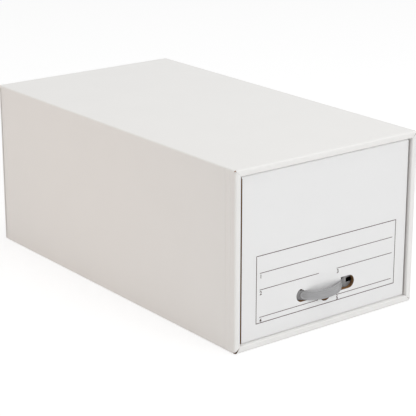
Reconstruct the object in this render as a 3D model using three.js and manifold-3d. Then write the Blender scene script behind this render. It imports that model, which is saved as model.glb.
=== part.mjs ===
// File box with a pull-out drawer. Millimetres, +Z up, the drawer's front faces -Y.
// Shell and drawer are each one blank of corrugated board, scored, folded and glued. Every panel between
// two scores is a mesh of its own, and the score is the narrow gap left between it and its neighbour.
// The origin lies under the middle of the whole box, on the surface that the shell stands on.
import * as THREE from "three";
import { mergeVertices } from "three/addons/utils/BufferGeometryUtils.js";
import Module from "manifold-3d";

const wasm = await Module();
wasm.setup();

// Shell: a sleeve closed behind by four flaps
const shellWidth = 338;
const shellDepth = 622;
const shellHeight = 264;
const shellBoard = 4;
const shellFoldRadius = 3;
const score = 0.25;
const glueFlapReach = 34;
const rearSeam = 1;
const rearInnerGap = 76;
const rearOuterInset = 3.5;

// Hems: the board turns back inside at the front edge, with mitred ends in the corners
const hemAir = 1.5;
const topHemDepth = 100;
const sideHemDepth = 150;
const floorHemEndGap = 2;
const mitreGap = 0.5;

// Drawer: a tray of lighter board with double walls, and tucks in its corners. It has some play in the shell
// and stands a little to the right of the middle.
const drawerBoard = 3;
const drawerFoldRadius = 2.25;
const drawerRecess = 5.75;
const drawerSideGap = 4;
const drawerShift = 1.25;
const drawerFrontInset = 1;
const drawerTopGap = 2.25;
const drawerFloorGap = 0.25;
const drawerBackGap = 1.25;

// Tabs: the linings lock with them into pockets along the edges of the drawer's floor
const tabWidth = 48;
const tabLift = 0.5;
const tabClearance = 0.5;
const tabShares = [-0.3, 0.3];

// Slot: cut through the drawer's front and its lining, its cut-out left hanging inwards as a flap
const slotWidth = 110;
const slotHeight = 20;
const slotRise = 47.25;
const thumbRadius = 10;
const thumbDrop = 9;
const slotFlapLeftGap = 19;
const slotFlapRightGap = 25.5;
const slotFlapEndGap = 1;
const slotFlapSwingDegrees = 36;

// Pull: a moulded strap that bows out of the slot and lies flat behind the lining at both ends, as a taller
// wing with a window. It has some play, rests low in the slot, sags a little and is pushed to the left.
const strapThickness = 2;
const strapLowerGap = 1;
const strapUpperGap = 3.5;
const strapEndGap = 1.4;
const strapPlay = 4;
const strapStandoff = 10;
const strapSag = 3;
const strapSlopeDegrees = 36;
const hookBend = 3;
const wingGap = 0.75;
const wingGrip = 7;
const wingHeight = 22;
const wingCorner = 4;
const windowMargin = 2.4;
const windowLength = 12.5;
const windowHeight = 7.5;
const tuckGap = 4;

// Fineness of curves, how far a cutter runs past what it cuts, and how near points count as one
const foldSteps = 2;
const slotSteps = 8;
const strapSteps = 6;
const cutOverrun = 1;
const mergeDistance = 1e-4;

// Sizes of the shell that follow
const hemFace = 2 * shellBoard + hemAir;
const wallFoot = shellBoard + score;
const wallHeight = shellHeight - 2 * wallFoot;
const rearOuterPlace = shellDepth - shellBoard;
const rearInnerPlace = rearOuterPlace - score - shellBoard;
const rearInnerReach = (shellWidth - rearInnerGap) / 2;
const rearOuterReach = (shellHeight - rearSeam) / 2;

// Sizes of the drawer that follow
const drawerWidth = shellWidth - 2 * (hemFace + drawerSideGap);
const drawerHeight = shellHeight - 2 * hemFace - drawerFloorGap - drawerTopGap;
const drawerDepth = rearInnerPlace - drawerRecess - drawerBackGap;
const doubleWall = 2 * drawerBoard + score;
const liningFoot = drawerBoard + score;
const rimFoot = drawerHeight - drawerBoard;
const tuckPlace = doubleWall + score;
const sideStart = tuckPlace + drawerBoard + score;
const slotRadius = slotHeight / 2;

// Sizes of the pull that follow: it goes through the board as far out as the slot's round end lets it
const strapHeight = slotHeight - strapLowerGap - strapUpperGap;
const strapFoot = slotRise - slotRadius + strapLowerGap;
const strapSlope = THREE.MathUtils.degToRad(strapSlopeDegrees);
const slotRoom = slotWidth / 2 - slotRadius + Math.sqrt(slotRadius ** 2 - (slotRadius - strapLowerGap) ** 2);
const strapRoom = slotRoom - strapEndGap - strapPlay - doubleWall / Math.tan(strapSlope);
const bowReach = strapRoom - strapThickness / 2 / Math.sin(strapSlope);
const wingPlace = doubleWall + wingGap + strapThickness / 2;
const wingStart = bowReach + wingPlace / Math.tan(strapSlope);
const wingReach = slotWidth / 2 + wingGrip + strapPlay;
const windowStart = wingStart + hookBend + windowMargin;
const shoulder = wingStart + hookBend / 2;
const wingFoot = slotRise - wingHeight / 2 - strapFoot;
const tuckReach = drawerWidth / 2 - wingReach - strapPlay - tuckGap;

// The whole box is as deep as the shell and what the pull stands out in front of it
const pullProud = Math.max(strapStandoff - drawerRecess, 0);
const shellFront = (pullProud - shellDepth) / 2;

const whiteBoard = { color: 0xecebe9, roughness: 0.62, metalness: 0 };
const kraftBoard = { color: 0xa87f52, roughness: 0.85, metalness: 0 };
const greyPlastic = { color: 0x999a9c, roughness: 0.32, metalness: 0 };

// Closed outline through corners [across, up, radius]. A corner with no radius stays sharp.
function outline(corners) {
  const shape = new THREE.Shape();
  corners.forEach(([across, up, radius = 0], index) => {
    if (radius === 0) {
      if (index === 0) shape.moveTo(across, up);
      else shape.lineTo(across, up);
      return;
    }
    const corner = new THREE.Vector2(across, up);
    const back = new THREE.Vector2(...corners.at(index - 1)).sub(corner).setLength(radius);
    const ahead = new THREE.Vector2(...corners[(index + 1) % corners.length]).sub(corner).setLength(radius);
    const centre = corner.clone().add(back).add(ahead);
    const startAngle = Math.atan2(-ahead.y, -ahead.x);
    const endAngle = Math.atan2(-back.y, -back.x);
    shape.absarc(centre.x, centre.y, radius, startAngle, endAngle, back.cross(ahead) > 0);
  });
  return shape;
}

function extrude(shape, length, steps = foldSteps) {
  return new THREE.ExtrudeGeometry(shape, { depth: length, bevelEnabled: false, curveSegments: steps });
}

// Board with its section drawn in Y and Z, running along X with its middle at zero
function boardAlongX(section, length) {
  const [x, y, z] = [new THREE.Vector3(1, 0, 0), new THREE.Vector3(0, 1, 0), new THREE.Vector3(0, 0, 1)];
  const turn = new THREE.Matrix4().makeBasis(y, z, x);
  return extrude(section, length).applyMatrix4(turn).translate(-length / 2, 0, 0);
}

// Board with its section drawn in X and Z, running from zero along Y
function boardAlongY(section, length, steps = foldSteps) {
  return extrude(section, length, steps).rotateX(Math.PI / 2).translate(0, length, 0);
}

function toSolid(geometry) {
  geometry.deleteAttribute("normal");
  geometry.deleteAttribute("uv");
  const merged = mergeVertices(geometry, mergeDistance);
  const vertProperties = merged.attributes.position.array;
  const triVerts = new Uint32Array(merged.index.array);
  return new wasm.Manifold(new wasm.Mesh({ numProp: 3, vertProperties, triVerts }));
}

function toGeometry(solid) {
  const { vertProperties, triVerts } = solid.getMesh();
  const geometry = new THREE.BufferGeometry();
  geometry.setAttribute("position", new THREE.BufferAttribute(vertProperties, 3));
  geometry.setIndex(new THREE.BufferAttribute(triVerts, 1));
  const faceted = geometry.toNonIndexed();
  faceted.computeVertexNormals();
  return faceted;
}

function add(group, name, geometry, finish, place = [0, 0, 0]) {
  const mesh = new THREE.Mesh(geometry, new THREE.MeshStandardMaterial(finish));
  mesh.name = name;
  mesh.position.set(...place);
  group.add(mesh);
  return mesh;
}

// Plain board that fills the given stretch of each axis
function addBoard(group, name, finish, [x0, x1], [y0, y1], [z0, z1]) {
  const geometry = new THREE.BoxGeometry(x1 - x0, y1 - y0, z1 - z0);
  add(group, name, geometry, finish, [(x0 + x1) / 2, (y0 + y1) / 2, (z0 + z1) / 2]);
}

// Solid block, centred across X, that fills the given stretches of Y and Z
function block(width, [y0, y1], [z0, z1]) {
  const geometry = new THREE.BoxGeometry(width, y1 - y0, z1 - z0);
  return toSolid(geometry.translate(0, (y0 + y1) / 2, (z0 + z1) / 2));
}

// Hem of a front edge as it lies on the floor: it runs along X, and both ends lean in at 45 degrees
function hemGeometry(run, depth) {
  const section = outline([
    [0, 0, shellFoldRadius],
    [shellBoard, 0],
    [shellBoard, hemFace - shellBoard],
    [depth, hemFace - shellBoard],
    [depth, hemFace],
    [0, hemFace, shellFoldRadius],
  ]);
  const geometry = boardAlongX(section, run);
  const points = geometry.attributes.position;
  for (let index = 0; index < points.count; index += 1) {
    const end = Math.sign(points.getX(index));
    points.setX(index, end * (run / 2 - mitreGap / 2 - points.getZ(index)));
  }
  geometry.computeVertexNormals();
  return geometry;
}

function addShellPlates(shell) {
  const section = outline([
    [-shellWidth / 2, 0, shellFoldRadius],
    [shellWidth / 2, 0, shellFoldRadius],
    [shellWidth / 2, shellBoard],
    [-shellWidth / 2, shellBoard],
  ]);
  const run = rearOuterPlace - score - wallFoot;
  add(shell, "shell_floor", boardAlongY(section, run), whiteBoard, [0, wallFoot, 0]);
  const top = add(shell, "shell_top", boardAlongY(section, run), whiteBoard, [0, wallFoot, shellHeight]);
  top.rotation.y = Math.PI;
}

function addShellWalls(shell) {
  const outer = shellWidth / 2;
  const inner = outer - shellBoard;
  const along = [wallFoot, rearInnerPlace - score];
  const up = [wallFoot, shellHeight - wallFoot];
  addBoard(shell, "shell_left_wall", whiteBoard, [-outer, -inner], along, up);
  addBoard(shell, "shell_right_wall", whiteBoard, [inner, outer], along, up);

  // The flap that makes the blank a sleeve hangs from the top and is glued inside the right wall
  const across = [inner - score - shellBoard, inner - score];
  const behindHem = [sideHemDepth + score, rearInnerPlace - score];
  addBoard(shell, "shell_glue_flap", kraftBoard, across, behindHem, [up[1] - glueFlapReach, up[1]]);
}

// The side flaps lie inside, and the upper and lower ones meet over them
function addRearFlaps(shell) {
  const inner = outline([
    [-shellWidth / 2, shellBoard, shellFoldRadius],
    [-shellWidth / 2, 0],
    [rearInnerReach - shellWidth / 2, 0],
    [rearInnerReach - shellWidth / 2, shellBoard],
  ]);
  add(shell, "rear_left_flap", extrude(inner, wallHeight), kraftBoard, [0, rearInnerPlace, wallFoot]);
  const rightPlace = [0, rearInnerPlace, wallFoot + wallHeight];
  const right = add(shell, "rear_right_flap", extrude(inner, wallHeight), kraftBoard, rightPlace);
  right.rotation.y = Math.PI;

  const outer = outline([
    [shellBoard, 0, shellFoldRadius],
    [shellBoard, rearOuterReach],
    [0, rearOuterReach],
    [0, 0],
  ]);
  const width = shellWidth - 2 * rearOuterInset;
  const lower = boardAlongX(outer, width);
  add(shell, "rear_lower_flap", lower, whiteBoard, [0, rearOuterPlace, 0]);
  const upperPlace = [0, rearOuterPlace, shellHeight];
  const upper = add(shell, "rear_upper_flap", boardAlongX(outer, width), whiteBoard, upperPlace);
  upper.rotation.y = Math.PI;
}

// The floor's hem lines the whole floor, so that the drawer slides on it at one level
function addHems(shell) {
  add(shell, "floor_hem", hemGeometry(shellWidth, rearInnerPlace - floorHemEndGap), whiteBoard);
  const top = add(shell, "top_hem", hemGeometry(shellWidth, topHemDepth), whiteBoard, [0, 0, shellHeight]);
  top.rotation.y = Math.PI;
  for (const [name, side] of [["left_hem", -1], ["right_hem", 1]]) {
    const place = [(side * shellWidth) / 2, 0, shellHeight / 2];
    const hem = add(shell, name, hemGeometry(shellHeight, sideHemDepth), whiteBoard, place);
    hem.rotation.y = (-side * Math.PI) / 2;
  }
}

// The four walls of the drawer are drawn alike: each runs along X, its outer face at Y zero, its foot at
// Z zero, and is then turned to its side.
const walls = [
  { name: "front", run: drawerWidth, turn: 0, place: [0, 0] },
  { name: "back", run: drawerWidth, turn: 180, place: [0, drawerDepth] },
  { name: "left", run: drawerDepth - 2 * sideStart, turn: -90, place: [-drawerWidth / 2, drawerDepth / 2] },
  { name: "right", run: drawerDepth - 2 * sideStart, turn: 90, place: [drawerWidth / 2, drawerDepth / 2] },
];

function outerWall(run) {
  const section = outline([
    [0, 0, drawerFoldRadius],
    [drawerBoard, 0],
    [drawerBoard, rimFoot - score],
    [0, rimFoot - score],
  ]);
  return toSolid(boardAlongX(section, run));
}

// Tabs of one lining, or, grown by a clearance, the pockets that take them
function tabs(run, clearance) {
  const across = [doubleWall - drawerBoard - clearance, doubleWall + clearance];
  const tab = block(tabWidth + 2 * clearance, across, [tabLift - clearance, liningFoot + drawerBoard / 2]);
  return tabShares.map((share) => tab.translate([share * run, 0, 0])).reduce((all, next) => all.add(next));
}

// The lining rolls over the outer wall's upper edge as a rim and stands on the drawer's floor
function lining(run) {
  const rim = outline([
    [0, rimFoot],
    [doubleWall, rimFoot],
    [doubleWall, drawerHeight, drawerFoldRadius],
    [0, drawerHeight, drawerFoldRadius],
  ]);
  const panel = block(run, [doubleWall - drawerBoard, doubleWall], [liningFoot, rimFoot + drawerBoard / 2]);
  return toSolid(boardAlongX(rim, run)).add(panel).add(tabs(run, 0));
}

function slotCut() {
  const endPlace = slotWidth / 2 - slotRadius;
  const quarter = Math.PI / 2;
  const slot = new THREE.Shape();
  slot.absarc(endPlace, slotRise, slotRadius, -quarter, quarter, false);
  slot.absarc(-endPlace, slotRise, slotRadius, quarter, 3 * quarter, false);
  const thumb = new THREE.Shape();
  thumb.absarc(0, slotRise - slotRadius - thumbDrop + thumbRadius, thumbRadius, 0, 4 * quarter, false);
  const through = doubleWall + 2 * cutOverrun;
  const [slotSolid, thumbSolid] = [slot, thumb].map((shape) => toSolid(boardAlongY(shape, through, slotSteps)));
  return slotSolid.add(thumbSolid).translate([0, -cutOverrun, 0]);
}

// Tucks are flaps of the side walls that stand behind the front and back linings
function addTucks(group, wallName) {
  const section = outline([
    [-drawerWidth / 2, tuckPlace, drawerFoldRadius],
    [tuckReach - drawerWidth / 2, tuckPlace],
    [tuckReach - drawerWidth / 2, tuckPlace + drawerBoard],
    [-drawerWidth / 2, tuckPlace + drawerBoard],
  ]);
  const height = rimFoot - score - liningFoot;
  add(group, `${wallName}_left_tuck`, extrude(section, height), kraftBoard, [0, 0, liningFoot]);
  const place = [0, 0, liningFoot + height];
  const right = add(group, `${wallName}_right_tuck`, extrude(section, height), kraftBoard, place);
  right.rotation.y = Math.PI;
}

// The slot's cut-out hangs from the slot's upper edge and is pushed inwards. Its crease is crushed level
// with that edge, so its upper end is cut level.
function addSlotFlap(group) {
  const swing = THREE.MathUtils.degToRad(slotFlapSwingDegrees);
  const crease = slotRise + slotRadius - score;
  const reach = slotHeight - slotFlapEndGap;
  const [inwards, downwards] = [reach * Math.sin(swing), reach * Math.cos(swing)];
  const section = outline([
    [0, crease],
    [inwards, crease - downwards],
    [inwards + drawerBoard * Math.cos(swing), crease - downwards + drawerBoard * Math.sin(swing)],
    [drawerBoard / Math.cos(swing), crease],
  ]);
  const flap = boardAlongX(section, slotWidth - slotFlapLeftGap - slotFlapRightGap);
  add(group, "slot_flap", flap, whiteBoard, [(slotFlapLeftGap - slotFlapRightGap) / 2, 0, 0]);
}

// Middle line of the strap seen from above, from its middle to the tip of its right wing
function strapLine() {
  const bowMiddle = strapStandoff - strapThickness / 2;
  const [across, inwards] = [hookBend * Math.cos(strapSlope), hookBend * Math.sin(strapSlope)];
  const line = new THREE.Path();
  line.moveTo(0, -bowMiddle);
  line.quadraticCurveTo(bowReach - bowMiddle / Math.tan(strapSlope), -bowMiddle, bowReach, 0);
  line.lineTo(wingStart - across, wingPlace - inwards);
  line.quadraticCurveTo(wingStart, wingPlace, wingStart + hookBend, wingPlace);
  line.lineTo(wingReach, wingPlace);
  return line.getPoints(strapSteps);
}

// Strip of even thickness along a line of points
function stripAlong(points, thickness) {
  const sides = points.map((point, index) => {
    const before = points[Math.max(index - 1, 0)];
    const after = points[Math.min(index + 1, points.length - 1)];
    const along = after.clone().sub(before).setLength(thickness / 2);
    const square = new THREE.Vector2(-along.y, along.x);
    return [point.clone().add(square), point.clone().sub(square)];
  });
  return new THREE.Shape([...sides.map(([near]) => near), ...sides.map(([, far]) => far).reverse()]);
}

// The strap sags with its own weight: the further it stands out, the lower it hangs
function sag(geometry) {
  const points = geometry.attributes.position;
  for (let index = 0; index < points.count; index += 1) {
    const outShare = Math.max(-points.getY(index) / strapStandoff, 0);
    points.setZ(index, points.getZ(index) - strapSag * outShare);
  }
  geometry.computeVertexNormals();
  return geometry;
}

function addPullStrap(group) {
  const half = strapLine();
  const mirrored = half.slice(1).map((point) => new THREE.Vector2(-point.x, point.y)).reverse();
  const strip = toSolid(extrude(stripAlong([...mirrored, ...half], strapThickness), wingHeight));

  // Seen from the front, the strap widens into wings with round corners, and each wing has its window
  const wingHead = wingFoot + wingHeight;
  const face = outline([
    [-wingReach, wingFoot, wingCorner],
    [-shoulder, wingFoot],
    [-shoulder, 0],
    [shoulder, 0],
    [shoulder, wingFoot],
    [wingReach, wingFoot, wingCorner],
    [wingReach, wingHead, wingCorner],
    [shoulder, wingHead],
    [shoulder, strapHeight],
    [-shoulder, strapHeight],
    [-shoulder, wingHead],
    [-wingReach, wingHead, wingCorner],
  ]);
  const deep = strapStandoff + wingPlace + strapThickness + cutOverrun;
  const blank = toSolid(boardAlongY(face, deep)).translate([0, -strapStandoff - cutOverrun, 0]);
  const windowFoot = wingFoot + (wingHeight - windowHeight) / 2;
  const behind = [wingPlace - strapThickness, wingPlace + strapThickness];
  const hole = block(windowLength, behind, [windowFoot, windowFoot + windowHeight]);
  const holePlace = windowStart + windowLength / 2;
  const windows = [-1, 1].map((side) => hole.translate([side * holePlace, 0, 0]));
  const outlined = strip.translate([0, 0, wingFoot]).intersect(blank);
  const strap = windows.reduce((rest, next) => rest.subtract(next), outlined);
  add(group, "pull_strap", sag(toGeometry(strap)), greyPlastic, [-strapPlay, 0, strapFoot]);
}

function addDrawerFloor(drawer) {
  const floorEdge = drawerWidth - 2 * liningFoot;
  let floor = block(floorEdge, [liningFoot, drawerDepth - liningFoot], [0, drawerBoard]);
  for (const { run, turn, place } of walls) {
    floor = floor.subtract(tabs(run, tabClearance).rotate([0, 0, turn]).translate([...place, 0]));
  }
  add(drawer, "drawer_floor", toGeometry(floor), kraftBoard);
}

function addDrawerWalls(drawer) {
  for (const { name, run, turn, place } of walls) {
    const group = new THREE.Group();
    group.position.set(...place, 0);
    group.rotation.z = THREE.MathUtils.degToRad(turn);
    drawer.add(group);
    const isFront = name === "front";
    const outerRun = isFront ? run - 2 * drawerFrontInset : run;
    const solids = [outerWall(outerRun), lining(run)];
    const [outer, inner] = solids.map((wall) => (isFront ? wall.subtract(slotCut()) : wall));
    add(group, `drawer_${name}`, toGeometry(outer), whiteBoard);
    add(group, `drawer_${name}_lining`, toGeometry(inner), whiteBoard);
    if (isFront || name === "back") addTucks(group, name);
    if (isFront) {
      addSlotFlap(group);
      addPullStrap(group);
    }
  }
}

const shell = new THREE.Group();
shell.position.y = shellFront;
addShellPlates(shell);
addShellWalls(shell);
addRearFlaps(shell);
addHems(shell);

const drawer = new THREE.Group();
drawer.position.set(drawerShift, shellFront + drawerRecess, hemFace + drawerFloorGap);
addDrawerFloor(drawer);
addDrawerWalls(drawer);

const fileBox = new THREE.Group();
fileBox.add(shell, drawer);

export default fileBox;
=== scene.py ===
# File box with a pull-out drawer, dressed piece by piece: papers, waves and folds of the corrugated board,
# the moulded pull and the printed label. Metres, +Z up, the drawer's front faces -Y.
import math
import bmesh
import bpy
from mathutils import Matrix, Vector


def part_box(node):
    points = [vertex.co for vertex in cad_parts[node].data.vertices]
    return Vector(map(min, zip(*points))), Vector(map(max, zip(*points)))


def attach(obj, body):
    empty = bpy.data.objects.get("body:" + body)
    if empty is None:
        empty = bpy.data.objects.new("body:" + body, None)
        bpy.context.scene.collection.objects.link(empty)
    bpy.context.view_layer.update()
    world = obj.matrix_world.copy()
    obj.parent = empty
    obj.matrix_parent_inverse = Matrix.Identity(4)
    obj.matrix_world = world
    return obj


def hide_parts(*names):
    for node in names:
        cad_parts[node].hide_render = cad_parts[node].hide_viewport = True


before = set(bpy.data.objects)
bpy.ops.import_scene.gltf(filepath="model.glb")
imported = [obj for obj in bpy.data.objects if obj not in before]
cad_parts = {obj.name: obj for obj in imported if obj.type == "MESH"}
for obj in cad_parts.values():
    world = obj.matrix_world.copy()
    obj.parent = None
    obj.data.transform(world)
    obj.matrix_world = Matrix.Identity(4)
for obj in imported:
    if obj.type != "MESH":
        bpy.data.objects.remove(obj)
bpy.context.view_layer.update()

MM = 0.001
X, Y, Z = Vector((1, 0, 0)), Vector((0, 1, 0)), Vector((0, 0, 1))

# Corrugated board: two face papers with a wave of paper between them, a little short of every cut edge
face_paper = 0.45 * MM
wave_paper = 0.3 * MM
wave_slack = 0.02 * MM
wave_setback = 0.25 * MM
wave_steps = 8
crushed_share = 0.4
crushed_reach = 3 * MM
shell_pitch = 7.9 * MM
drawer_pitch = 6.5 * MM

# Fineness of folds, how near points count as one, the angle in degrees that makes an edge sharp, and the
# smallest share that a corner is divided by where a path is moved aside
arc_steps = 6
merge_distance = 0.001 * MM
sharp_angle = 32
corner_limit = 0.5

# Shell: sizes from the frame, and the radii of its folds
shell_floor_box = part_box("shell_floor")
left_wall_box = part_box("shell_left_wall")
floor_hem_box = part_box("floor_hem")
shell_width = shell_floor_box[1].x - shell_floor_box[0].x
shell_board = shell_floor_box[1].z - shell_floor_box[0].z
shell_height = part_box("shell_top")[1].z
shell_front = floor_hem_box[0].y
shell_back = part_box("rear_lower_flap")[1].y
shell_radius = 3 * MM
hem_radius = 1.6 * MM
hem_face = floor_hem_box[1].z
score = left_wall_box[0].z - shell_board

# Faint upright creases on the sleeve's side walls, near both ends
crease_half_width = 2.6 * MM
crease_depth = 0.5 * MM
front_creases = [shell_front + 12 * MM, shell_front + 22.7 * MM]
back_creases = [shell_back - 9 * MM, shell_back - 16 * MM]

# Open notches where the mitred hems meet: how far each hem's tip falls short at the shell's corners, and
# after how many times that distance a notch closes
notch_lower_left = 2.6 * MM
notch_upper_left = 0.7 * MM
notch_upper_right = 1.7 * MM
notch_lower_right = 1.8 * MM
notch_reach_share = 2.7
mitre_gap = 0.08 * MM
mitre_reach = 16 * MM
mitre_stations = 5

# Drawer: sizes from the frame, the radius of its folds, and the tabs of its linings
drawer_front_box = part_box("drawer_front")
front_lining_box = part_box("drawer_front_lining")
drawer_low = Vector((front_lining_box[0].x, drawer_front_box[0].y, drawer_front_box[0].z))
drawer_high = Vector((front_lining_box[1].x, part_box("drawer_back")[1].y, front_lining_box[1].z))
drawer_middle = (drawer_low.x + drawer_high.x) / 2
drawer_width = drawer_high.x - drawer_low.x
drawer_height = drawer_high.z - drawer_low.z
drawer_board = drawer_front_box[1].y - drawer_front_box[0].y
drawer_radius = 2.25 * MM
double_wall = front_lining_box[1].y - front_lining_box[0].y
rim_foot = drawer_height - drawer_board
lining_foot = drawer_board + score
tab_width = 48 * MM
tab_lift = 0.5 * MM
tab_shares = (-0.3, 0.3)

# Slot in the drawer's front, with a notch for the thumb below its middle
slot_width = 110 * MM
slot_height = 20 * MM
slot_rise = 47.25 * MM
thumb_radius = 10 * MM
thumb_drop = 9 * MM
slot_arc_steps = 16
cutter_overrun = 5 * MM


# Colours and finishes

def srgb(red, green, blue):
    """Colour given in steps of 0 to 255, as a shader takes it."""
    def linear(value):
        share = value / 255
        return share / 12.92 if share <= 0.04045 else ((share + 0.055) / 1.055) ** 2.4
    return (linear(red), linear(green), linear(blue), 1)


white_colour = srgb(235, 234, 232)
drawer_white_colour = srgb(234, 234, 234)
kraft_colour = srgb(168, 127, 82)
edge_colour = srgb(128, 94, 66)
ink_colour = srgb(76, 60, 56)
plastic_colour = srgb(154, 154, 155)

# Ranges that most of a noise lies in: fine grain, clouds and worn ink
grain_range = (0.3, 0.7)
cloud_range = (0.35, 0.65)
wear_range = (0.35, 0.7)

# White coat. Noises are given as scale and detail, bumps as height and strength, here and below.
coat_roughness = 0.6
coat_roughness_range = (0.54, 0.66)
coat_gloss = 0.35
coat_clouds = (14, 4)
coat_cloud_shade = 0.985
coat_grain = (1400, 2)
coat_grain_shade = 0.99
coat_grain_bump = (0.02 * MM, 0.5)
coat_swell = (22, 2)
coat_swell_bump = (0.5 * MM, 0.6)
washboard_bump = (0.008 * MM, 1)
crease_bump = (crease_depth, 1)

# Kraft paper, whose fibres are long one way
kraft_roughness = 0.85
kraft_roughness_range = (0.78, 0.92)
kraft_shades = (0.82, 1.1)
kraft_clouds = (30, 4)
kraft_cloud_range = (0, 0.5)
kraft_cloud_shade = 0.92
fibres_along = 260
fibres_across = 2200
fibre_noise = (1, 5)
fibre_noise_roughness = 0.65
fibre_bump = (0.05 * MM, 0.6)

# Raw edges of the papers
edge_roughness = 0.9
edge_roughness_range = (0.85, 0.95)
edge_shades = (0.7, 1.25)
edge_fibres = (2600, 4)
edge_bump = (0.1 * MM, 0.8)

# Ink
ink_roughness = 0.55
ink_roughness_range = (0.5, 0.62)
ink_wear = (900, 3)
ink_wear_shade = 1.35

# Plastic, with faint streaks along the pull from the moulding
plastic_roughness = 0.24
plastic_roughness_range = (0.21, 0.28)
plastic_gloss = 0.7
plastic_shades = (0.96, 1.03)
plastic_streaks = (1, 3)
plastic_stretch = (25, 160, 160)
plastic_grain = (1500, 2)
plastic_grain_bump = (0.006 * MM, 0.5)


# Materials

def add_node(tree, kind, values):
    """Node of a kind, with some of its inputs set."""
    node = tree.nodes.new(kind)
    for name, value in values.items():
        node.inputs[name].default_value = value
    return node


class Recipe:
    """Adds nodes to one material and links them."""

    def __init__(self, name, colour, roughness):
        self.material = bpy.data.materials.new(name)
        self.material.use_nodes = True
        self.tree = self.material.node_tree
        self.shader = self.tree.nodes["Principled BSDF"]
        self.shader.inputs["Base Color"].default_value = colour
        self.shader.inputs["Roughness"].default_value = roughness
        self.place = self.tree.nodes.new("ShaderNodeTexCoord").outputs["Object"]

    def link(self, source, target):
        self.tree.links.new(source, target)

    def stretched(self, scale):
        node = add_node(self.tree, "ShaderNodeMapping", {"Scale": scale})
        self.link(self.place, node.inputs["Vector"])
        return node.outputs["Vector"]

    def noise(self, size, vector=None, roughness=0.5):
        values = {"Scale": size[0], "Detail": size[1], "Roughness": roughness}
        node = add_node(self.tree, "ShaderNodeTexNoise", values)
        self.link(vector or self.place, node.inputs["Vector"])
        return node.outputs["Fac"]

    def math(self, operation, first, second=0.0):
        node = self.tree.nodes.new("ShaderNodeMath")
        node.operation = operation
        for socket, value in zip(node.inputs, (first, second)):
            if isinstance(value, (int, float)):
                socket.default_value = value
            else:
                self.link(value, socket)
        return node.outputs["Value"]

    def spread(self, value, limits, results=(0, 1)):
        """Value stretched from one range to another, and held at its ends."""
        values = {"From Min": limits[0], "From Max": limits[1], "To Min": results[0], "To Max": results[1]}
        node = add_node(self.tree, "ShaderNodeMapRange", values)
        self.link(value, node.inputs["Value"])
        return node.outputs["Result"]

    def blend(self, amount, first, second):
        node = self.tree.nodes.new("ShaderNodeMix")
        node.data_type = "RGBA"
        colour_inputs = [socket for socket in node.inputs if socket.type == "RGBA"]
        for socket, value in zip(colour_inputs, (first, second)):
            if isinstance(value, tuple):
                socket.default_value = value
            else:
                self.link(value, socket)
        self.link(amount, node.inputs["Factor"])
        return [socket for socket in node.outputs if socket.type == "RGBA"][0]

    def axis(self, name):
        node = self.tree.nodes.new("ShaderNodeSeparateXYZ")
        self.link(self.place, node.inputs["Vector"])
        return node.outputs[name]

    def bump(self, height, size, under=None):
        node = add_node(self.tree, "ShaderNodeBump", {"Distance": size[0], "Strength": size[1]})
        self.link(height, node.inputs["Height"])
        if under is not None:
            self.link(under, node.inputs["Normal"])
        return node.outputs["Normal"]

    def colour(self, value):
        self.link(value, self.shader.inputs["Base Color"])

    def roughness(self, value):
        self.link(value, self.shader.inputs["Roughness"])

    def normal(self, value):
        self.link(value, self.shader.inputs["Normal"])


def scaled(colour, factor):
    return (colour[0] * factor, colour[1] * factor, colour[2] * factor, 1)


def crease(recipe, place):
    """Depth of one crease in the side walls, as a share: 1 on its line and 0 from its borders on."""
    away = recipe.math("ABSOLUTE", recipe.math("SUBTRACT", recipe.axis("Y"), place))
    on_side = recipe.math("ABSOLUTE", recipe.axis("X"))
    on_side = recipe.math("GREATER_THAN", on_side, shell_width / 2 - crease_depth)
    return recipe.math("MULTIPLY", recipe.spread(away, (0, crease_half_width), (1, 0)), on_side)


def white_paper(name, colour, wave_axis, pitch, creases=()):
    """Smooth white coat over board: faint mottling, fibres, and the wave below just showing through."""
    recipe = Recipe(name, colour, coat_roughness)
    recipe.shader.inputs["Specular IOR Level"].default_value = coat_gloss
    clouds = recipe.spread(recipe.noise(coat_clouds), cloud_range)
    specks = recipe.noise(coat_grain)
    shade = recipe.blend(clouds, scaled(colour, coat_cloud_shade), colour)
    shade = recipe.blend(recipe.spread(specks, grain_range), scaled(colour, coat_grain_shade), shade)
    recipe.colour(shade)
    recipe.roughness(recipe.spread(specks, grain_range, coat_roughness_range))
    turns = recipe.math("MULTIPLY", recipe.axis(wave_axis), 2 * math.pi / pitch)
    relief = recipe.bump(recipe.math("SINE", turns), washboard_bump)
    relief = recipe.bump(recipe.noise(coat_swell), coat_swell_bump, relief)
    relief = recipe.bump(specks, coat_grain_bump, relief)
    for place in creases:
        relief = recipe.bump(recipe.math("MULTIPLY", crease(recipe, place), -1), crease_bump, relief)
    recipe.normal(relief)
    return recipe.material


def kraft_shade(recipe, stretch):
    """Gives a material the fibres of kraft paper, and returns their colour."""
    fibres = recipe.noise(fibre_noise, recipe.stretched(stretch), fibre_noise_roughness)
    dark, light = [scaled(kraft_colour, shade) for shade in kraft_shades]
    recipe.roughness(recipe.spread(fibres, grain_range, kraft_roughness_range))
    recipe.normal(recipe.bump(fibres, fibre_bump))
    return recipe.blend(recipe.spread(fibres, grain_range), dark, light)


def kraft_paper(name):
    recipe = Recipe(name, kraft_colour, kraft_roughness)
    shade = kraft_shade(recipe, (fibres_along, fibres_along, fibres_across))
    clouds = recipe.spread(recipe.noise(kraft_clouds), cloud_range, kraft_cloud_range)
    recipe.colour(recipe.blend(clouds, shade, scaled(kraft_colour, kraft_cloud_shade)))
    return recipe.material


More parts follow.
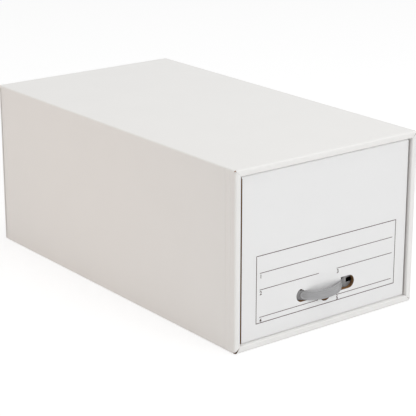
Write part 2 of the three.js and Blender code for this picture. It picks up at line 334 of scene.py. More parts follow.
def floor_paper(name):
    """Paper of the drawer's floor: kraft above, white coat underneath."""
    recipe = Recipe(name, kraft_colour, kraft_roughness)
    shade = kraft_shade(recipe, (fibres_across, fibres_along, fibres_along))
    above = recipe.math("GREATER_THAN", recipe.axis("Z"), drawer_low.z + face_paper)
    recipe.colour(recipe.blend(above, white_colour, shade))
    return recipe.material


def cut_paper(name):
    """Raw cut edge of the papers: darker, rough and frayed."""
    recipe = Recipe(name, edge_colour, edge_roughness)
    fibres = recipe.noise(edge_fibres)
    dark, light = [scaled(edge_colour, shade) for shade in edge_shades]
    recipe.colour(recipe.blend(recipe.spread(fibres, grain_range), dark, light))
    recipe.roughness(recipe.spread(fibres, grain_range, edge_roughness_range))
    recipe.normal(recipe.bump(fibres, edge_bump))
    return recipe.material


def printed_ink(name):
    recipe = Recipe(name, ink_colour, ink_roughness)
    wear = recipe.noise(ink_wear)
    worn = scaled(ink_colour, ink_wear_shade)
    recipe.colour(recipe.blend(recipe.spread(wear, wear_range), ink_colour, worn))
    recipe.roughness(recipe.spread(wear, grain_range, ink_roughness_range))
    return recipe.material


def moulded_plastic(name):
    recipe = Recipe(name, plastic_colour, plastic_roughness)
    recipe.shader.inputs["Specular IOR Level"].default_value = plastic_gloss
    grain = recipe.noise(plastic_grain)
    streaks = recipe.noise(plastic_streaks, recipe.stretched(plastic_stretch))
    dark, light = [scaled(plastic_colour, shade) for shade in plastic_shades]
    recipe.colour(recipe.blend(recipe.spread(streaks, grain_range), dark, light))
    recipe.roughness(recipe.spread(grain, grain_range, plastic_roughness_range))
    recipe.normal(recipe.bump(grain, plastic_grain_bump))
    return recipe.material


shell_white = white_paper("shell_white_paper", white_colour, "Y", shell_pitch, front_creases + back_creases)
drawer_white = white_paper("drawer_white_paper", drawer_white_colour, "Z", drawer_pitch)
kraft = kraft_paper("kraft_paper")
cut_edge = cut_paper("cut_paper_edge")
ink = printed_ink("label_ink")
plastic = moulded_plastic("grey_moulded_plastic")
floor_board = floor_paper("drawer_floor_board")

# Places of the materials on every board piece
WHITE, KRAFT, CUT = 0, 1, 2


# Paths in a board's section, as points (inwards, up)

def arc(centre, radius, start, end, steps=arc_steps):
    """Points on a circle from one angle to another, in degrees."""
    points = []
    for step in range(steps + 1):
        angle = math.radians(start + (end - start) * step / steps)
        points.append((centre[0] + radius * math.cos(angle), centre[1] + radius * math.sin(angle)))
    return points


def offset_path(path, distance):
    """The path moved to its right-hand side, with its corners kept at full thickness."""
    moved = []
    for index, point in enumerate(path):
        here = Vector(point)
        ways = []
        if index > 0:
            ways.append((here - Vector(path[index - 1])).normalized())
        if index < len(path) - 1:
            ways.append((Vector(path[index + 1]) - here).normalized())
        sides = [Vector((way.y, -way.x)) for way in ways]
        middle = sum(sides, Vector((0, 0))).normalized()
        moved.append(tuple(here + middle * (distance / max(middle.dot(sides[0]), corner_limit))))
    return moved


def point_on(path, distance):
    """Point and direction at a distance along a path."""
    begun = 0
    for start, end in zip(path, path[1:]):
        way = Vector(end) - Vector(start)
        if distance <= begun + way.length or end == path[-1]:
            return Vector(start) + way.normalized() * (distance - begun), way.normalized()
        begun += way.length


def wave_path(middle, pitch, height):
    """Wave along a path, flattened near the path's corners, where the board is creased."""
    corners = []
    travelled = 0
    for start, end in zip(middle, middle[1:]):
        travelled += (Vector(end) - Vector(start)).length
        corners.append(travelled)
    total = corners.pop()
    count = round(total / pitch * wave_steps)
    points = []
    for step in range(count + 1):
        distance = total * step / count
        point, along = point_on(middle, distance)
        side = Vector((along.y, -along.x))
        nearest = min([abs(distance - corner) for corner in corners] + [crushed_reach])
        crushed = crushed_share + (1 - crushed_share) * nearest / crushed_reach
        swing = height * crushed * math.sin(2 * math.pi * distance / pitch)
        points.append(tuple(point + side * swing))
    return points


# Papers and boards in a local frame: X along the run, Y inwards from the outer face, Z up the path

def add_grid(bm, spans, steps):
    """Flat grid of quads, given as its vertices, each with its column and its row."""
    verts = bmesh.ops.create_grid(bm, x_segments=spans, y_segments=steps, size=0.5)["verts"]
    return [(vert, round((vert.co.x + 0.5) * spans), round((vert.co.y + 0.5) * steps)) for vert in verts]


def thicken(bm, sheet):
    """Doubles a sheet and closes its borders. Gives the new vertices and faces, still on the old ones."""
    grown = bmesh.ops.extrude_face_region(bm, geom=sheet, use_keep_orig=True)["geom"]
    far_verts = [item for item in grown if isinstance(item, bmesh.types.BMVert)]
    far_faces = [item for item in grown if isinstance(item, bmesh.types.BMFace)]
    return far_verts, far_faces


def lay_paper(bm, path, stations, thickness, outside, inside, turn=None):
    """Closed sheet of paper that follows the path and runs through the stations along X."""
    step_layer = bm.verts.layers.int.get("step") or bm.verts.layers.int.new("step")
    verts = []
    for vert, column, row in add_grid(bm, len(stations) - 1, len(path) - 1):
        vert[step_layer] = row
        vert.co = (stations[column], *path[row])
        verts.append(vert)
    faces = list(dict.fromkeys(face for vert in verts for face in vert.link_faces))
    edges = list(dict.fromkeys(edge for face in faces for edge in face.edges))
    far_verts, far_faces = thicken(bm, verts + edges + faces)
    far_path = offset_path(path, thickness)
    for vert in far_verts:
        vert.co = (vert.co.x, *far_path[vert[step_layer]])
    for vert in far_verts:
        for face in vert.link_faces:
            face.material_index = CUT
    for face in faces:
        face.material_index = outside
    for face in far_faces:
        face.material_index = inside
    sheet = verts + far_verts
    if turn is not None:
        bmesh.ops.transform(bm, matrix=turn, verts=sheet)
    return sheet


def inset_stations(stations, distance):
    """The same run, with both ends drawn in."""
    return [stations[0] + distance, *stations[1:-1], stations[-1] - distance]


def fill_with_wave(bm, middle, stations, board, pitch, turn=None):
    """Wave of paper along the middle of a board, a little short of the board's cut ends."""
    height = board / 2 - face_paper - wave_paper / 2 - wave_slack
    path = wave_path(middle, pitch, height)
    path = offset_path(path, -wave_paper / 2)
    return lay_paper(bm, path, inset_stations(stations, wave_setback), wave_paper, KRAFT, KRAFT, turn)


def corrugated(bm, outer, inner, middle, stations, board, pitch):
    """Board whose wave follows its path: outer paper white, inner paper and wave kraft."""
    sheet = lay_paper(bm, outer, stations, face_paper, WHITE, KRAFT)
    sheet += lay_paper(bm, inner, stations, -face_paper, KRAFT, KRAFT)
    sheet += fill_with_wave(bm, middle, stations, board, pitch)
    return sheet


def flat_paths(board, reach):
    """Inner and middle path of a straight board."""
    inner = [(board, 0), (board, reach)]
    middle = [(board / 2, wave_setback), (board / 2, reach - wave_setback)]
    return inner, middle


def foot_paths(board, radius, reach):
    """Outer, inner and middle path of a board that is folded from its neighbour at its foot."""
    outer = [(board, 0), *arc((radius, radius), radius, -90, -180), (0, reach)]
    inner = [(board, face_paper + wave_slack), (board, reach)]
    middle = [(board / 2, face_paper + wave_setback), (board / 2, reach - wave_setback)]
    return outer, inner, middle


def axes(run, inwards, up, origin):
    """Matrix that takes the local frame to the given world directions and place."""
    matrix = Matrix((run, inwards, up)).transposed().to_4x4()
    matrix.translation = origin
    return matrix


def finished_mesh(name, bm, materials):
    """Mesh of what has been drawn, with its materials."""
    mesh = bpy.data.meshes.new(name)
    bm.to_mesh(mesh)
    bm.free()
    for material in materials:
        mesh.materials.append(material)
    return mesh


def smooth(mesh, sharp):
    """Smooth shading, apart from the edges at a sharper angle than the given one."""
    mesh.shade_smooth()
    mesh.set_sharp_from_angle(angle=math.radians(sharp))


def add_object(name, data):
    thing = bpy.data.objects.new(name, data)
    bpy.context.scene.collection.objects.link(thing)
    return thing


def shown_mesh(thing):
    """Mesh of an object as its modifier or its lettering makes it."""
    bpy.context.view_layer.update()
    return bpy.data.meshes.new_from_object(thing.evaluated_get(bpy.context.evaluated_depsgraph_get()))


def make_piece(name, bm, body, nodes, materials, matrix=None, sharp=sharp_angle):
    """Finished piece on its body, standing for the given nodes."""
    bmesh.ops.remove_doubles(bm, verts=bm.verts, dist=merge_distance)
    if matrix is not None:
        bmesh.ops.transform(bm, matrix=matrix, verts=bm.verts)
    bmesh.ops.recalc_face_normals(bm, faces=bm.faces)
    mesh = finished_mesh(name, bm, materials)
    smooth(mesh, sharp)
    piece = add_object(name, mesh)
    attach(piece, body)
    if nodes:
        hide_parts(*nodes)
    return piece


shell_papers = (shell_white, kraft, cut_edge)
drawer_papers = (drawer_white, kraft, cut_edge)


def make_shell_panel(name, bm, node, matrix):
    make_piece(name, bm, "shell", (node,), shell_papers, matrix)


def make_drawer_panel(name, bm, node, matrix):
    return make_piece(name, bm, "drawer", (node,), drawer_papers, matrix)


# Shell

def add_wrap():
    """White face paper: one piece round the sleeve, from the glued joint at the upper right back to it."""
    half, radius, height = shell_width / 2, shell_radius, shell_height
    joint = shell_height - shell_board
    path = [(half, joint - score)]
    path += arc((half - radius, radius), radius, 0, -90)
    path += arc((radius - half, radius), radius, -90, -180)
    path += arc((radius - half, height - radius), radius, 180, 90)
    path += arc((half - radius, height - radius), radius, 90, 0)
    path += [(half, joint + score)]
    front = shell_front + shell_board
    back = shell_back - shell_board
    bm = bmesh.new()
    sheet = lay_paper(bm, path, [front, back], face_paper, WHITE, KRAFT, axes(Y, X, Z, (0, 0, 0)))
    side_end = left_wall_box[1].y + score
    for vert in sheet:
        on_side = shell_board < vert.co.z < height - shell_board
        if on_side and vert.co.y > side_end:
            vert.co.y = side_end
    make_piece("shell_wrap", bm, "shell", (), shell_papers)


def add_sleeve_panel(node, inwards, outer_place, flutes):
    """One wall of the sleeve behind the wrap: inner paper, and a wave that goes from front to back."""
    low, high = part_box(node)
    reach = high.y - low.y
    start = low.dot(flutes)
    run = high.dot(flutes) - start
    side_room = shell_board + score if flutes == X else 0
    stations = [start + side_room, start + run - side_room]
    inner, middle = flat_paths(shell_board, reach)
    bm = bmesh.new()
    lay_paper(bm, inner, stations, -face_paper, KRAFT, KRAFT)
    fill_with_wave(bm, middle, stations, shell_board, shell_pitch)
    matrix = axes(flutes, inwards, Y, Vector(outer_place) + Y * low.y)
    make_shell_panel(node.replace("shell_", "sleeve_"), bm, node, matrix)


def add_glue_flap():
    """Flap inside the right wall that holds the sleeve together."""
    low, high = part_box("shell_glue_flap")
    reach = high.y - low.y
    inner, middle = flat_paths(shell_board, reach)
    bm = bmesh.new()
    corrugated(bm, [(0, 0), (0, reach)], inner, middle, [low.z, high.z], shell_board, shell_pitch)
    matrix = axes(Z, -X, Y, (high.x, low.y, 0))
    make_shell_panel("glue_flap", bm, "shell_glue_flap", matrix)


def add_rear_flap(node, layer, run_axis, up_axis, origin, run, reach):
    """One flap of the sleeve's back, folded in from a wall, in the inner or the outer layer."""
    bm = bmesh.new()
    outer, inner, middle = foot_paths(shell_board, shell_radius, reach)
    corrugated(bm, outer, inner, middle, run, shell_board, shell_pitch)
    matrix = axes(run_axis, -Y, up_axis, origin)
    make_shell_panel(node.replace("flap", f"{layer}_flap"), bm, node, matrix)


def add_rear_flaps():
    half = shell_width / 2
    for node, side, turn in (("rear_left_flap", -1, Z), ("rear_right_flap", 1, -Z)):
        low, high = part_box(node)
        run = [low.z, high.z] if side < 0 else [-high.z, -low.z]
        origin = (side * half, high.y, 0)
        add_rear_flap(node, "inner", turn, -side * X, origin, run, high.x - low.x)
    for node, turn, up, level in (("rear_lower_flap", -X, Z, 0), ("rear_upper_flap", X, -Z, shell_height)):
        low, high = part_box(node)
        origin = (0, shell_back, level)
        run = [low.x, high.x]
        add_rear_flap(node, "outer", turn, up, origin, run, high.z - low.z)


def hem_stations(half):
    """Places along a hem: one long stretch, with close steps at both ends where it is mitred."""
    near = [half - mitre_reach * (1 - step / mitre_stations) for step in range(mitre_stations + 1)]
    return [-place for place in reversed(near)] + near


def mitre(verts, half, notches):
    """Leans both ends of a hem in at 45 degrees, opens the notches and rounds the tips with the fold."""
    for vert in verts:
        end = 1 if vert.co.x > 0 else -1
        rise = max(vert.co.z, 0)
        pull = 1 - (half - abs(vert.co.x)) / mitre_reach
        if pull <= 0:
            continue
        opening = notches[0 if end < 0 else 1]
        notch = opening * max(1 - rise / (opening * notch_reach_share), 0)
        vert.co.x = end * (abs(vert.co.x) - pull * (rise + mitre_gap + notch))
        beyond = abs(vert.co.x) - (half - shell_radius)
        if beyond > 0:
            round_rise = shell_radius - math.sqrt(max(shell_radius ** 2 - beyond ** 2, 0))
            vert.co.z = max(vert.co.z, round_rise)


def add_hem(node, run_axis, up_axis, origin, half, notches):
    """Front edge of one wall: the board rolls round to the inside and lies there as a hem."""
    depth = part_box(node)[1].y - shell_front
    radius, board, face = shell_radius, shell_board, hem_face
    inner_face = face - board
    outer = [(board, 0), *arc((radius, radius), radius, -90, -180)]
    outer += [*arc((hem_radius, face - hem_radius), hem_radius, 180, 90), (depth, face)]
    inner = [(board, board), (board, inner_face), (depth, inner_face)]
    middle = [(board, board / 2), (board / 2, board / 2), (board / 2, face - board / 2)]
    middle += [(depth - wave_setback, face - board / 2)]
    bm = bmesh.new()
    sheet = corrugated(bm, outer, inner, middle, hem_stations(half), board, shell_pitch)
    mitre(sheet, half, notches)
    make_shell_panel(f"rolled_{node}", bm, node, axes(run_axis, Y, up_axis, origin))


def add_hems():
    width, height = shell_width / 2, shell_height / 2
    front = shell_front
    add_hem("floor_hem", X, Z, (0, front, 0), width, (notch_lower_left, notch_lower_right))
    add_hem("top_hem", -X, -Z, (0, front, shell_height), width, (notch_upper_right, notch_upper_left))
    add_hem("left_hem", -Z, X, (-width, front, height), height, (notch_upper_left, notch_lower_left))
    add_hem("right_hem", Z, -X, (width, front, height), height, (notch_lower_right, notch_upper_right))


# Drawer: the four walls are drawn alike, each from its own foot and outer face, then turned to its side

def wall_matrix(side):
    """Takes a wall from its own frame to its side of the drawer."""
    turns = {"front": 0, "back": 180, "left": -90, "right": 90}
    middle_y = (drawer_low.y + drawer_high.y) / 2
    places = {
        "front": (drawer_middle, drawer_low.y),
        "back": (drawer_middle, drawer_high.y),
        "left": (drawer_low.x, middle_y),
        "right": (drawer_high.x, middle_y),
    }
    turn = Matrix.Rotation(math.radians(turns[side]), 4, "Z")
    return Matrix.Translation((*places[side], drawer_low.z)) @ turn


def half_run(node, side):
    """Half the length of a wall's panel."""
    low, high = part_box(node)
    return (high.x - low.x if side in ("front", "back") else high.y - low.y) / 2


def slot_outline():
    """Outline of the slot and its thumb notch, seen from the front, in the wall's frame."""
    radius = slot_height / 2
    end_place = slot_width / 2 - radius
    thumb_centre = slot_rise - radius - thumb_drop + thumb_radius
    dip = thumb_centre - (slot_rise - radius)
    thumb_angle = math.degrees(math.asin(dip / thumb_radius))
    points = arc((end_place, slot_rise), radius, -90, 90, slot_arc_steps)
    points += arc((-end_place, slot_rise), radius, 90, 270, slot_arc_steps)
    points += arc((0, thumb_centre), thumb_radius, 180 + thumb_angle, 360 - thumb_angle, slot_arc_steps)
    return points


def add_slot_cutter():
    """Solid in the shape of the slot, longer than the drawer's double front."""
    bm = bmesh.new()
    rim = [bm.verts.new((across, -cutter_overrun, up)) for across, up in slot_outline()]
    face = bmesh.ops.contextual_create(bm, geom=rim)["faces"][0]
    far_verts, _ = thicken(bm, [face, *face.edges, *face.verts])
    bmesh.ops.translate(bm, verts=far_verts, vec=(0, double_wall + 2 * cutter_overrun, 0))
    bmesh.ops.recalc_face_normals(bm, faces=bm.faces)
    for face in bm.faces:
        face.material_index = CUT
    bmesh.ops.transform(bm, matrix=wall_matrix("front"), verts=bm.verts)
    return add_object("slot_cutter", finished_mesh("slot_cutter", bm, drawer_papers))


def cut_slot(piece):
    """Cuts the slot through a finished piece of the drawer's front."""
    cutter = add_slot_cutter()
    modifier = piece.modifiers.new("slot", "BOOLEAN")
    modifier.object = cutter
    modifier.operation = "DIFFERENCE"
    modifier.solver = "EXACT"
    cut = shown_mesh(piece)
    piece.modifiers.clear()
    piece.data = cut
    bpy.data.objects.remove(cutter)
    smooth(cut, sharp_angle)


def sideways_wave(bm, half, foot, head, depth_place):
    """Wave that goes along the wall, for walls whose flutes stand upright."""
    middle = [(depth_place, -half + wave_setback), (depth_place, half - wave_setback)]
    fill_with_wave(bm, middle, [foot, head], drawer_board, drawer_pitch, axes(Z, Y, X, (0, 0, 0)))


def add_outer_wall(side):
    """Outer wall of one side. The front's right end goes as far as its lining's."""
    half = half_run(f"drawer_{side}", side)
    reach = rim_foot - score
    outer, inner, middle = foot_paths(drawer_board, drawer_radius, reach)
    ends = [-half, drawer_width / 2 if side == "front" else half]
    bm = bmesh.new()
    lay_paper(bm, outer, ends, face_paper, WHITE, KRAFT)
    lay_paper(bm, inner, ends, -face_paper, KRAFT, KRAFT)
    if side in ("front", "back"):
        fill_with_wave(bm, middle, ends, drawer_board, drawer_pitch)
    else:
        sideways_wave(bm, half, drawer_radius, reach, drawer_board / 2)
    return make_drawer_panel(f"{side}_wall", bm, f"drawer_{side}", wall_matrix(side))


def lining_paths():
    """The lining starts on top of the outer wall, rolls over as the rim and goes down to the floor."""
    board, radius, wall, height = drawer_board, drawer_radius, double_wall, drawer_height
    outer = [(0, rim_foot - score), *arc((radius, height - radius), radius, 180, 90)]
    outer += [*arc((wall - radius, height - radius), radius, 90, 0), (wall, lining_foot)]
    inner = [(board, rim_foot), (wall - board, rim_foot), (wall - board, lining_foot)]
    middle = [(board / 2, rim_foot), (board / 2, height - board / 2)]
    middle += [(wall - board / 2, height - board / 2), (wall - board / 2, lining_foot + wave_setback)]
    return outer, inner, middle


def add_lining(side):
    """Inner wall of one side, with its rim and the tabs that lock into the floor."""
    node = f"drawer_{side}_lining"
    half = half_run(node, side)
    outer, inner, middle = lining_paths()
    bm = bmesh.new()
    lay_paper(bm, outer, [-half, half], face_paper, WHITE, KRAFT)
    lay_paper(bm, inner, [-half, half], -face_paper, KRAFT, KRAFT)
    if side in ("front", "back"):
        fill_with_wave(bm, middle, [-half, half], drawer_board, drawer_pitch)
    else:
        sideways_wave(bm, half, lining_foot, rim_foot, double_wall - drawer_board / 2)
    tab_head = lining_foot - wave_slack
    tab_back = double_wall - drawer_board
    for share in tab_shares:
        place = share * 2 * half
        ends = [place - tab_width / 2, place + tab_width / 2]
        lay_paper(bm, [(double_wall, tab_head), (double_wall, tab_lift)], ends, face_paper, WHITE, KRAFT)
        lay_paper(bm, [(tab_back, tab_lift), (tab_back, tab_head)], ends, face_paper, KRAFT, KRAFT)
    return make_drawer_panel(f"{side}_lining", bm, node, wall_matrix(side))


def add_tucks(side):
    """Two tucks behind the front or back lining, white towards the lining and kraft towards the inside."""
    turn = wall_matrix(side)
    low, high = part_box(f"{side}_left_tuck")
    reach, height = high.x - low.x, high.z - low.z
    place = double_wall + score
    outer, inner, middle = foot_paths(drawer_board, drawer_radius, reach)
    for hand, across, flip in (("left", X, Z), ("right", -X, -Z)):
        bm = bmesh.new()
        corrugated(bm, outer, inner, middle, [-height / 2, height / 2], drawer_board, drawer_pitch)
        start = drawer_width / 2 * (-1 if hand == "left" else 1)
        middle_height = (low.z + high.z) / 2 - drawer_low.z
        matrix = turn @ axes(-flip, Y, across, (start, place, middle_height))
        name = f"{side}_{hand}_corner_tuck"
        make_drawer_panel(name, bm, f"{side}_{hand}_tuck", matrix)


# Flap: the slot's cut-out. It hangs from a soft crease, bends in at a knee, and has an ear on the left.

flap_end_gap = 1 * MM
flap_length = slot_height - flap_end_gap
flap_lean = math.radians(5)
flap_swing = math.radians(55)
flap_steps = 16
flap_crease_bend = 2.2 * MM
flap_knee = 11.5 * MM
flap_knee_bend = 3.5 * MM
crease_dent = 0.2 * MM
flap_ear = 11 * MM
flap_ear_height = 6.5 * MM


def smooth_step(value):
    """Rises from 0 to 1 with soft ends."""
    value = min(max(value, 0), 1)
    return value * value * (3 - 2 * value)


def add_slot_flap():
    """Flap whose outer paper is walked down step by step. The other layers follow it."""
    low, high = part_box("slot_flap")
    crease = slot_rise + slot_height / 2
    length = flap_length / flap_steps
    outer = [(crease_dent, crease - wave_slack)]
    for step in range(flap_steps):
        travelled = (step + 0.5) * length
        angle = flap_lean * smooth_step(travelled / flap_crease_bend)
        angle += (flap_swing - flap_lean) * smooth_step((travelled - flap_knee) / flap_knee_bend)
        inwards, up = outer[-1]
        outer.append((inwards + length * math.sin(angle), up - length * math.cos(angle)))
    inner = offset_path(outer, -drawer_board)[1:]
    spine = offset_path(outer, -drawer_board / 2)
    middle = [spine[1], spine[round((flap_knee + flap_knee_bend / 2) / length)], spine[-1]]
    bm = bmesh.new()
    stations = [low.x - drawer_middle, high.x - drawer_middle]
    sheet = lay_paper(bm, outer, stations, -face_paper, WHITE, KRAFT)
    sheet += lay_paper(bm, inner, stations, face_paper, KRAFT, KRAFT)
    sheet += fill_with_wave(bm, middle, stations, drawer_board, drawer_pitch)
    for vert in sheet:
        if vert.co.x < 0:
            vert.co.x -= flap_ear * max(1 - (crease - vert.co.z) / flap_ear_height, 0)
    make_drawer_panel("hanging_slot_flap", bm, "slot_flap", wall_matrix("front"))


# Pull: a moulded band along one middle line. Its grip is ribbed and has a rim all round, and its ends widen
# into flat wings with a window each.

strap_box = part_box("pull_strap")
strap_thickness = 2 * MM
strap_slope = math.radians(36)
strap_middle = (strap_box[0].x + strap_box[1].x) / 2
strap_half_length = (strap_box[1].x - strap_box[0].x) / 2
strap_sag = 2 * MM
strap_standoff = drawer_low.y - strap_box[0].y
strap_steps_along = 360
strap_steps_up = 44
strap_edge_radius = 0.4 * MM
strap_sharp_angle = 50
bow_steps = 24
bend_steps = 8
hook_bend = 3 * MM

# Heights on the pull, from the middle of the slot. The band stops short of the slot's edges.
band_lower_gap = 1 * MM
band_upper_gap = 4.5 * MM
band_low = band_lower_gap - slot_height / 2
band_high = slot_height / 2 - band_upper_gap

# Wings: how far they lie in, their windows, and the places across where they start and flare out
wing_place = strap_box[1].y - strap_thickness / 2 - drawer_low.y
wing_height = 22 * MM
wing_corner = 4 * MM
window_start = 50.07 * MM
window_length = 12.5 * MM
window_height = 7.5 * MM
window_margin = 2.4 * MM
wing_start = window_start - window_margin - hook_bend
flare_lead = 0.3 * MM
flare_start = wing_start - flare_lead
flare_length = 3.5 * MM

# Grip: a sunk field with fine ribs along it, and a rim round it
grip_low, grip_high = -39.8 * MM, 34.7 * MM
grip_half_height = 6.2 * MM
grip_corner = 6 * MM
grip_depth = 0.35 * MM
rim_width = 1.3 * MM
rim_rise = 0.8 * MM
rib_rise = 0.25 * MM
rib_pitch = 2.6 * MM


def curved(start, knee, end, share):
    """Point on the bend from start to end round the knee."""
    return start * (1 - share) ** 2 + knee * 2 * share * (1 - share) + end * share ** 2


def strap_line():
    """Middle line of the strap from above, as (across, inwards) points: arch, straight slope, flat wing."""
    bow = strap_standoff - strap_thickness / 2
    bow_reach = wing_start - wing_place / math.tan(strap_slope)
    top = Vector((0, -bow))
    turn = Vector((bow_reach - bow / math.tan(strap_slope), -bow))
    foot = Vector((bow_reach, 0))
    half = [tuple(curved(top, turn, foot, step / bow_steps)) for step in range(bow_steps + 1)]
    knee = Vector((wing_start, wing_place))
    start = knee - Vector((math.cos(strap_slope), math.sin(strap_slope))) * hook_bend
    end = knee + Vector((hook_bend, 0))
    half += [tuple(curved(start, knee, end, step / bend_steps)) for step in range(bend_steps + 1)]
    half.append((strap_half_length, wing_place))
    return [(-across, inwards) for across, inwards in reversed(half[1:])] + half


def strap_limits(across, from_tip):
    """Lowest and highest place of the strap at one column: band, flare, wing and its round corners."""
    flare = smooth_step((abs(across) - flare_start) / flare_length)
    low = band_low * (1 - flare) - wing_height / 2 * flare
    high = band_high * (1 - flare) + wing_height / 2 * flare
    missing = max(wing_corner - from_tip, 0)
    drawn_in = wing_corner - math.sqrt(wing_corner ** 2 - missing ** 2)
    return low + drawn_in, high - drawn_in


def outside_grip(across, up):
    """Distance to the outline of the grip, less than zero inside."""
    corner = grip_corner
    beyond = abs(across - (grip_low + grip_high) / 2) - ((grip_high - grip_low) / 2 - corner)
    above = abs(up - (band_low + band_high) / 2) - (grip_half_height - corner)
    return math.hypot(max(beyond, 0), max(above, 0)) + min(max(beyond, above), 0) - corner


def strap_relief(across, up):
    """How far the strap's front lies behind the highest line of the rim."""
    distance = outside_grip(across, up)
    if distance > rim_width:
        return -rim_rise
    rim = 0.5 + 0.5 * math.cos(math.pi * min(max(distance / rim_width, -1), 1))
    inside = smooth_step(-distance / rim_width)
    rib = rib_rise * (0.5 + 0.5 * math.cos(2 * math.pi * up / rib_pitch))
    return rim_rise * (rim - 1) + (rib - grip_depth) * inside * (1 - rim)


def strap_columns():
    """For each column of the strap: its point, the way outwards, and its lowest and highest place."""
    line = strap_line()
    total = sum((Vector(end) - Vector(start)).length for start, end in zip(line, line[1:]))
    columns = []
    for column in range(strap_steps_along + 1):
        distance = total * column / strap_steps_along
        point, along = point_on(line, distance)
        limits = strap_limits(point.x, min(distance, total - distance))
        columns.append((point, Vector((along.y, -along.x)), limits))
    return columns


def in_window(place):
    """True for a place in one of the wings' windows."""
    across = window_start < abs(place.x) < window_start + window_length
    return across and abs(place.z) < window_height / 2


def strap_spot(vert, columns, layers):
    """Point, way outwards and height of a vertex of the strap, from its column and its row."""
    point, outwards, (low, high) = columns[vert[layers[0]]]
    return point, outwards, low + (high - low) * vert[layers[1]] / strap_steps_up


def lay_strap(bm, columns, layers):
    """Lays the strap flat as a grid, and opens the windows in its wings."""
    for vert, column, row in add_grid(bm, strap_steps_along, strap_steps_up):
        vert[layers[0]] = column
        vert[layers[1]] = row
        point, _, up = strap_spot(vert, columns, layers)
        vert.co = (point.x, 0, up)
    open_faces = [face for face in bm.faces if in_window(face.calc_center_median())]
    bmesh.ops.delete(bm, geom=open_faces, context="FACES")


def add_strap():
    """Laid flat, thickened, and then bent to its line."""
    bm = bmesh.new()
    columns = strap_columns()
    layers = [bm.verts.layers.int.new(name) for name in ("column", "row")]
    lay_strap(bm, columns, layers)
    backs, _ = thicken(bm, [*bm.verts, *bm.edges, *bm.faces])
    backs = set(backs)
    for vert in bm.verts:
        point, outwards, up = strap_spot(vert, columns, layers)
        offset = -strap_thickness / 2 if vert in backs else strap_thickness / 2 + strap_relief(point.x, up)
        place = point + outwards * offset
        vert.co = (place.x, place.y, up - strap_sag * max(-place.y / strap_standoff, 0))
    matrix = Matrix.Translation((strap_middle, drawer_low.y, drawer_low.z + slot_rise))
    nodes, sharp = ("pull_strap",), strap_sharp_angle
    piece = make_piece("moulded_pull", bm, "drawer", nodes, (plastic,), matrix, sharp)
    bevel = piece.modifiers.new("soft_edges", "BEVEL")
    bevel.width = strap_edge_radius
    bevel.segments = 3
    bevel.limit_method = "ANGLE"
    bevel.angle_limit = math.radians(sharp)


# Label printed on the drawer's front

label_shift = 3.5 * MM
label_middle = drawer_middle + label_shift
label_half_width = 132.5 * MM
label_low, label_high = 33.2 * MM, 133.5 * MM
label_line = 1.1 * MM
rule_line = 0.95 * MM
rule_end = 126 * MM
rule_gap = 17.2 * MM
rule_levels = (107.3 * MM, 82.8 * MM, 42.2 * MM)
ink_rise = 0.1 * MM
ink_thickness = 0.9 * ink_rise
numeral_size = 8 * MM
numeral_drop = 7.6 * MM
numeral_weight = 0.15 * MM


def ink_plate(bm, low_x, high_x, low_z, high_z):
    """Flat plate of ink on the drawer's face."""
    for vert, column, row in add_grid(bm, 1, 1):
        x = label_middle + low_x + column * (high_x - low_x)
        z = low_z + row * (high_z - low_z)
        vert.co = (x, drawer_low.y - ink_rise, z)


def add_label():
    """Frame and ruled lines of the label. The two lower rules are parted in the middle."""
    bm = bmesh.new()
    half, line = label_half_width, label_line
    ink_plate(bm, -half, half, label_high - line, label_high)
    ink_plate(bm, -half, half, label_low, label_low + line)
    ink_plate(bm, -half, line - half, label_low + line, label_high - line)
    ink_plate(bm, half - line, half, label_low + line, label_high - line)
    whole = ((-rule_end, rule_end),)
    parted = ((-rule_end, -rule_gap), (rule_gap, rule_end))
    for level, stretches in zip(rule_levels, (whole, parted, parted)):
        for low_x, high_x in stretches:
            ink_plate(bm, low_x, high_x, level - rule_line / 2, level + rule_line / 2)
    backs, _ = thicken(bm, [*bm.verts, *bm.edges, *bm.faces])
    bmesh.ops.translate(bm, verts=backs, vec=(0, ink_thickness, 0))
    make_piece("label_lines", bm, "drawer", (), (ink,))


def add_numeral(digit, place_x, level):
    """Plain number at the start of one of the label's fields."""
    curve = bpy.data.curves.new(f"numeral_{digit}", "FONT")
    curve.body = digit
    curve.size = numeral_size
    curve.extrude = ink_rise / 2
    curve.offset = numeral_weight
    text = add_object("numeral_text", curve)
    mesh = shown_mesh(text)
    bpy.data.objects.remove(text)
    bm = bmesh.new()
    bm.from_mesh(mesh)
    bpy.data.meshes.remove(mesh)
    matrix = axes(X, Z, -Y, (label_middle + place_x, drawer_low.y - ink_rise / 2, level - numeral_drop))
    make_piece(f"field_number_{digit}", bm, "drawer", (), (ink,), matrix)


def add_numerals():
    fields = ((0, -rule_end), (1, -rule_end), (1, rule_gap), (2, -rule_end), (2, rule_gap))
    for number, (rule, place_x) in enumerate(fields, start=1):
        add_numeral(str(number), place_x, rule_levels[rule])


def dress_drawer_floor():
    """The drawer's floor keeps its own mesh, and only gets its paper."""
    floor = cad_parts["drawer_floor"]
    floor.data.materials.clear()
    floor.data.materials.append(floor_board)


# Floor, light and camera

floor_half_size = 30
floor_colour = (0.9, 0.9, 0.9, 1)
seen_floor_colour = (0.4, 0.4, 0.4, 1)
seen_floor_glow = 0.66
light_colour = (1, 1, 1, 1)
sky_strength = 0.6

# Lamps, each with its place, target, size, power and colour
lamps = {
    "overhead": ((0.4, -0.3, 3.5), (0, 0, 0), 3, 36, (1, 1, 1)),
    "key": ((0.3, -3.35, 1.8), (0, -0.2, 0.13), 2.4, 34.5, (1, 1, 1)),
    "warm_fill": ((-0.95, 0.15, 0.12), (0, 0.15, 0.11), 0.7, 1.12, (1, 0.64, 0.4)),
}

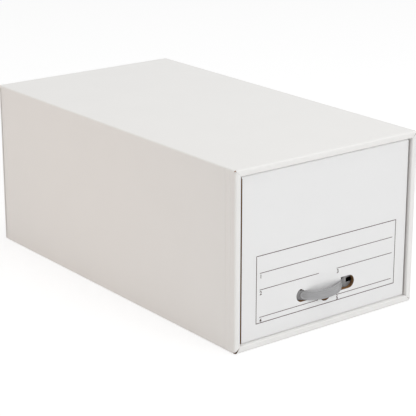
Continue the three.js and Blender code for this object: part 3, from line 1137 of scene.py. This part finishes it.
# Camera, as solved on the photograph. Its place is counted in shell heights, from the front left foot.
camera_place = Vector((-4.5390, -5.6715, 3.1696))
camera_turn = math.radians(37.568)
camera_pitch = math.radians(18.021)
focal_pixels = 1513.4
picture_pixels = 416
sensor_width = 36
farthest_view = 100


def choose_when_seen(tree, output, unseen, seen):
    """One shader for what is seen, directly or by way of glossy and clear surfaces, one for other light."""
    path = tree.nodes.new("ShaderNodeLightPath")
    share = path.outputs["Is Camera Ray"]
    for name in ("Is Glossy Ray", "Is Transmission Ray"):
        either = tree.nodes.new("ShaderNodeMath")
        either.operation = "MAXIMUM"
        tree.links.new(share, either.inputs[0])
        tree.links.new(path.outputs[name], either.inputs[1])
        share = either.outputs[0]
    choice = tree.nodes.new("ShaderNodeMixShader")
    tree.links.new(share, choice.inputs[0])
    tree.links.new(unseen.outputs[0], choice.inputs[1])
    tree.links.new(seen.outputs[0], choice.inputs[2])
    tree.links.new(choice.outputs[0], output.inputs["Surface"])


def floor_material():
    """Pale paper for the light it sends back, and a softer one with a glow for the picture."""
    material = bpy.data.materials.new("studio_floor_paper")
    material.use_nodes = True
    tree = material.node_tree
    tree.nodes.clear()
    output = tree.nodes.new("ShaderNodeOutputMaterial")
    plain = add_node(tree, "ShaderNodeBsdfDiffuse", {"Color": floor_colour})
    soft = add_node(tree, "ShaderNodeBsdfDiffuse", {"Color": seen_floor_colour})
    glow = add_node(tree, "ShaderNodeEmission", {"Color": light_colour, "Strength": seen_floor_glow})
    both = tree.nodes.new("ShaderNodeAddShader")
    tree.links.new(soft.outputs[0], both.inputs[0])
    tree.links.new(glow.outputs[0], both.inputs[1])
    choose_when_seen(tree, output, plain, both)
    return material


def add_stage():
    bm = bmesh.new()
    bmesh.ops.create_grid(bm, x_segments=1, y_segments=1, size=floor_half_size)
    floor = add_object("studio_floor", finished_mesh("studio_floor", bm, (floor_material(),)))


def add_world():
    """White background to look at, and a weaker sky that lights the box."""
    world = bpy.data.worlds.new("studio")
    bpy.context.scene.world = world
    world.use_nodes = True
    tree = world.node_tree
    tree.nodes.clear()
    output = tree.nodes.new("ShaderNodeOutputWorld")
    light = add_node(tree, "ShaderNodeBackground", {"Color": light_colour, "Strength": sky_strength})
    white = add_node(tree, "ShaderNodeBackground", {"Color": light_colour, "Strength": 1})
    choose_when_seen(tree, output, light, white)


def add_lamp(name, place, target, size, power, colour):
    """Square soft light that faces its target, out of the camera's sight."""
    lamp = bpy.data.lights.new(name, "AREA")
    lamp.shape = "SQUARE"
    lamp.size = size
    lamp.energy = power
    lamp.color = colour
    holder = add_object(name, lamp)
    holder.location = place
    holder.rotation_euler = (Vector(target) - Vector(place)).to_track_quat("-Z", "Y").to_euler()
    holder.visible_camera = False


def add_camera():
    """Stands where the photograph was taken from, aimed a little down, with a long lens."""
    camera = bpy.data.cameras.new("camera")
    camera.sensor_width = sensor_width
    camera.lens = focal_pixels / picture_pixels * sensor_width
    camera.clip_end = farthest_view
    holder = add_object("camera", camera)
    corner = Vector((-shell_width / 2, shell_front, 0))
    holder.location = corner + camera_place * shell_height
    holder.rotation_euler = (math.pi / 2 - camera_pitch, 0, -camera_turn)
    bpy.context.scene.camera = holder


add_camera()
add_stage()
add_world()
for name, values in lamps.items():
    add_lamp(name, *values)

add_wrap()
add_sleeve_panel("shell_floor", Z, (0, 0, 0), X)
add_sleeve_panel("shell_top", -Z, (0, 0, shell_height), X)
add_sleeve_panel("shell_left_wall", X, (-shell_width / 2, 0, 0), Z)
add_sleeve_panel("shell_right_wall", -X, (shell_width / 2, 0, 0), Z)
add_glue_flap()
add_rear_flaps()
add_hems()

for side in ("front", "back", "left", "right"):
    wall = add_outer_wall(side)
    wall_lining = add_lining(side)
    if side == "front":
        cut_slot(wall)
        cut_slot(wall_lining)
for side in ("front", "back"):
    add_tucks(side)
add_slot_flap()
add_strap()
add_label()
add_numerals()
dress_drawer_floor()

scene = bpy.context.scene
scene.view_settings.view_transform = "Standard"
